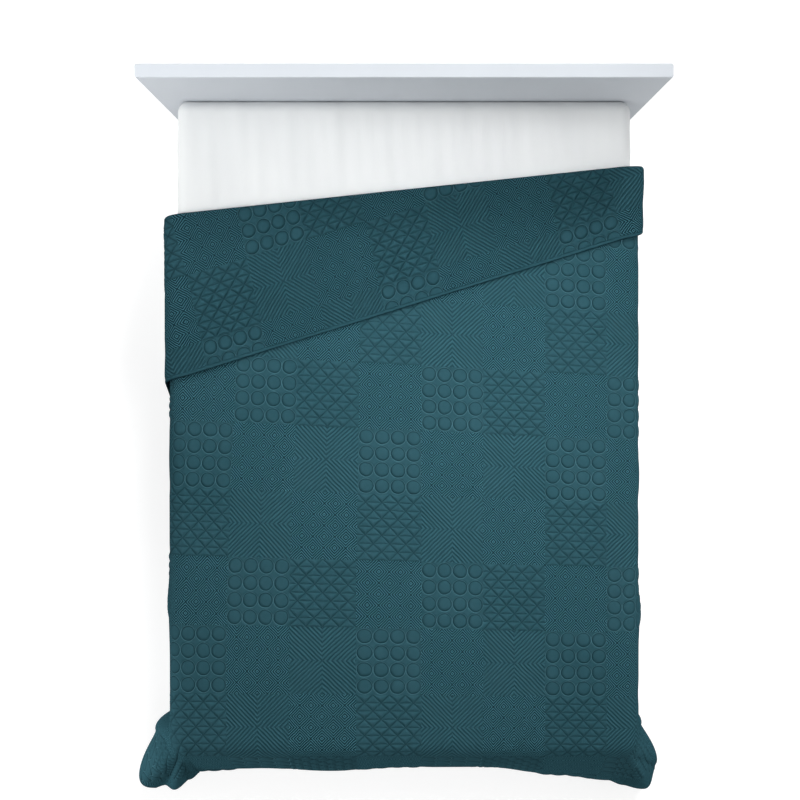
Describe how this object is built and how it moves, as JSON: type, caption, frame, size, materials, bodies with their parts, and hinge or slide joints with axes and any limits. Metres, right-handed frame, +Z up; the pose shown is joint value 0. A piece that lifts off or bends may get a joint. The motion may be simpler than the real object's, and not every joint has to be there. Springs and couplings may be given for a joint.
{
  "type": "bedspread on a bed",
  "caption": "Quilted bedspread draped over a plain double bed with a flat headboard, its head end turned back at a slant and its foot corners flaring.",
  "frame": {"origin": "on the floor under the middle of the bed base", "axes": "+Z up, +Y towards the head of the bed, +X towards the side that is on the right when the bed is seen from its foot"},
  "size_m": [1.7356, 2.2832, 0.884],
  "materials": {
    "quilted_cloth": "soft matt quilted polyester in petrol blue with a faint sheen",
    "white_sheet": "plain white fitted sheet",
    "base_cover": "plain pale grey upholstery",
    "white_board": "satin white lacquer"
  },
  "bodies": {
    "root": {"bedspread": "quilted_cloth", "mattress": "white_sheet", "bed_base": "base_cover", "headboard": "white_board"}
  },
  "joints": []
}
